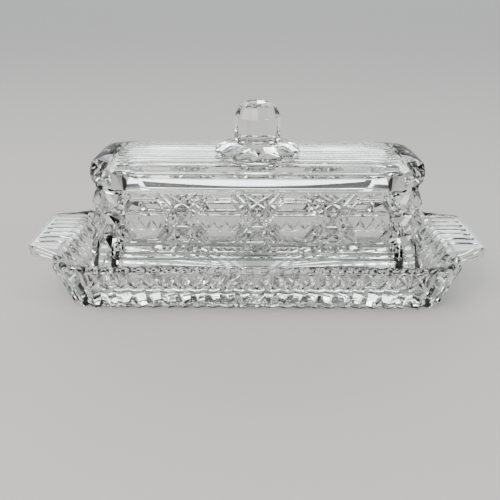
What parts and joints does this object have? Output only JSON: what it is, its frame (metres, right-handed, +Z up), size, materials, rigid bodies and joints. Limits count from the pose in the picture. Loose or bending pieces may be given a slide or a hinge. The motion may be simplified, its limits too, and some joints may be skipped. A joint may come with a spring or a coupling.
{
  "type": "butter dish",
  "caption": "Pressed-glass butter dish: a fluted tray with two ear handles and a loose arched cover with an octagonal knob.",
  "frame": {"origin": "under the middle of the tray, on the surface that the dish stands on", "axes": "+X along the dish from handle to handle, +Y across it towards the back, +Z up through the knob"},
  "size_m": [0.216, 0.0786, 0.0906],
  "materials": {
    "tray_glass": "clear pressed glass, polished, with flutes and ribs",
    "cover_glass": "clear pressed glass, polished, with cut panels and lengthwise ribs"
  },
  "bodies": {
    "tray": {"tray": "tray_glass"},
    "cover": {"cover": "cover_glass"}
  },
  "joints": [
    {"name": "cover_lift", "type": "slide", "parent": "tray", "child": "cover", "axis": [0, 0, 1], "range_m": [0, 0.08]}
  ]
}
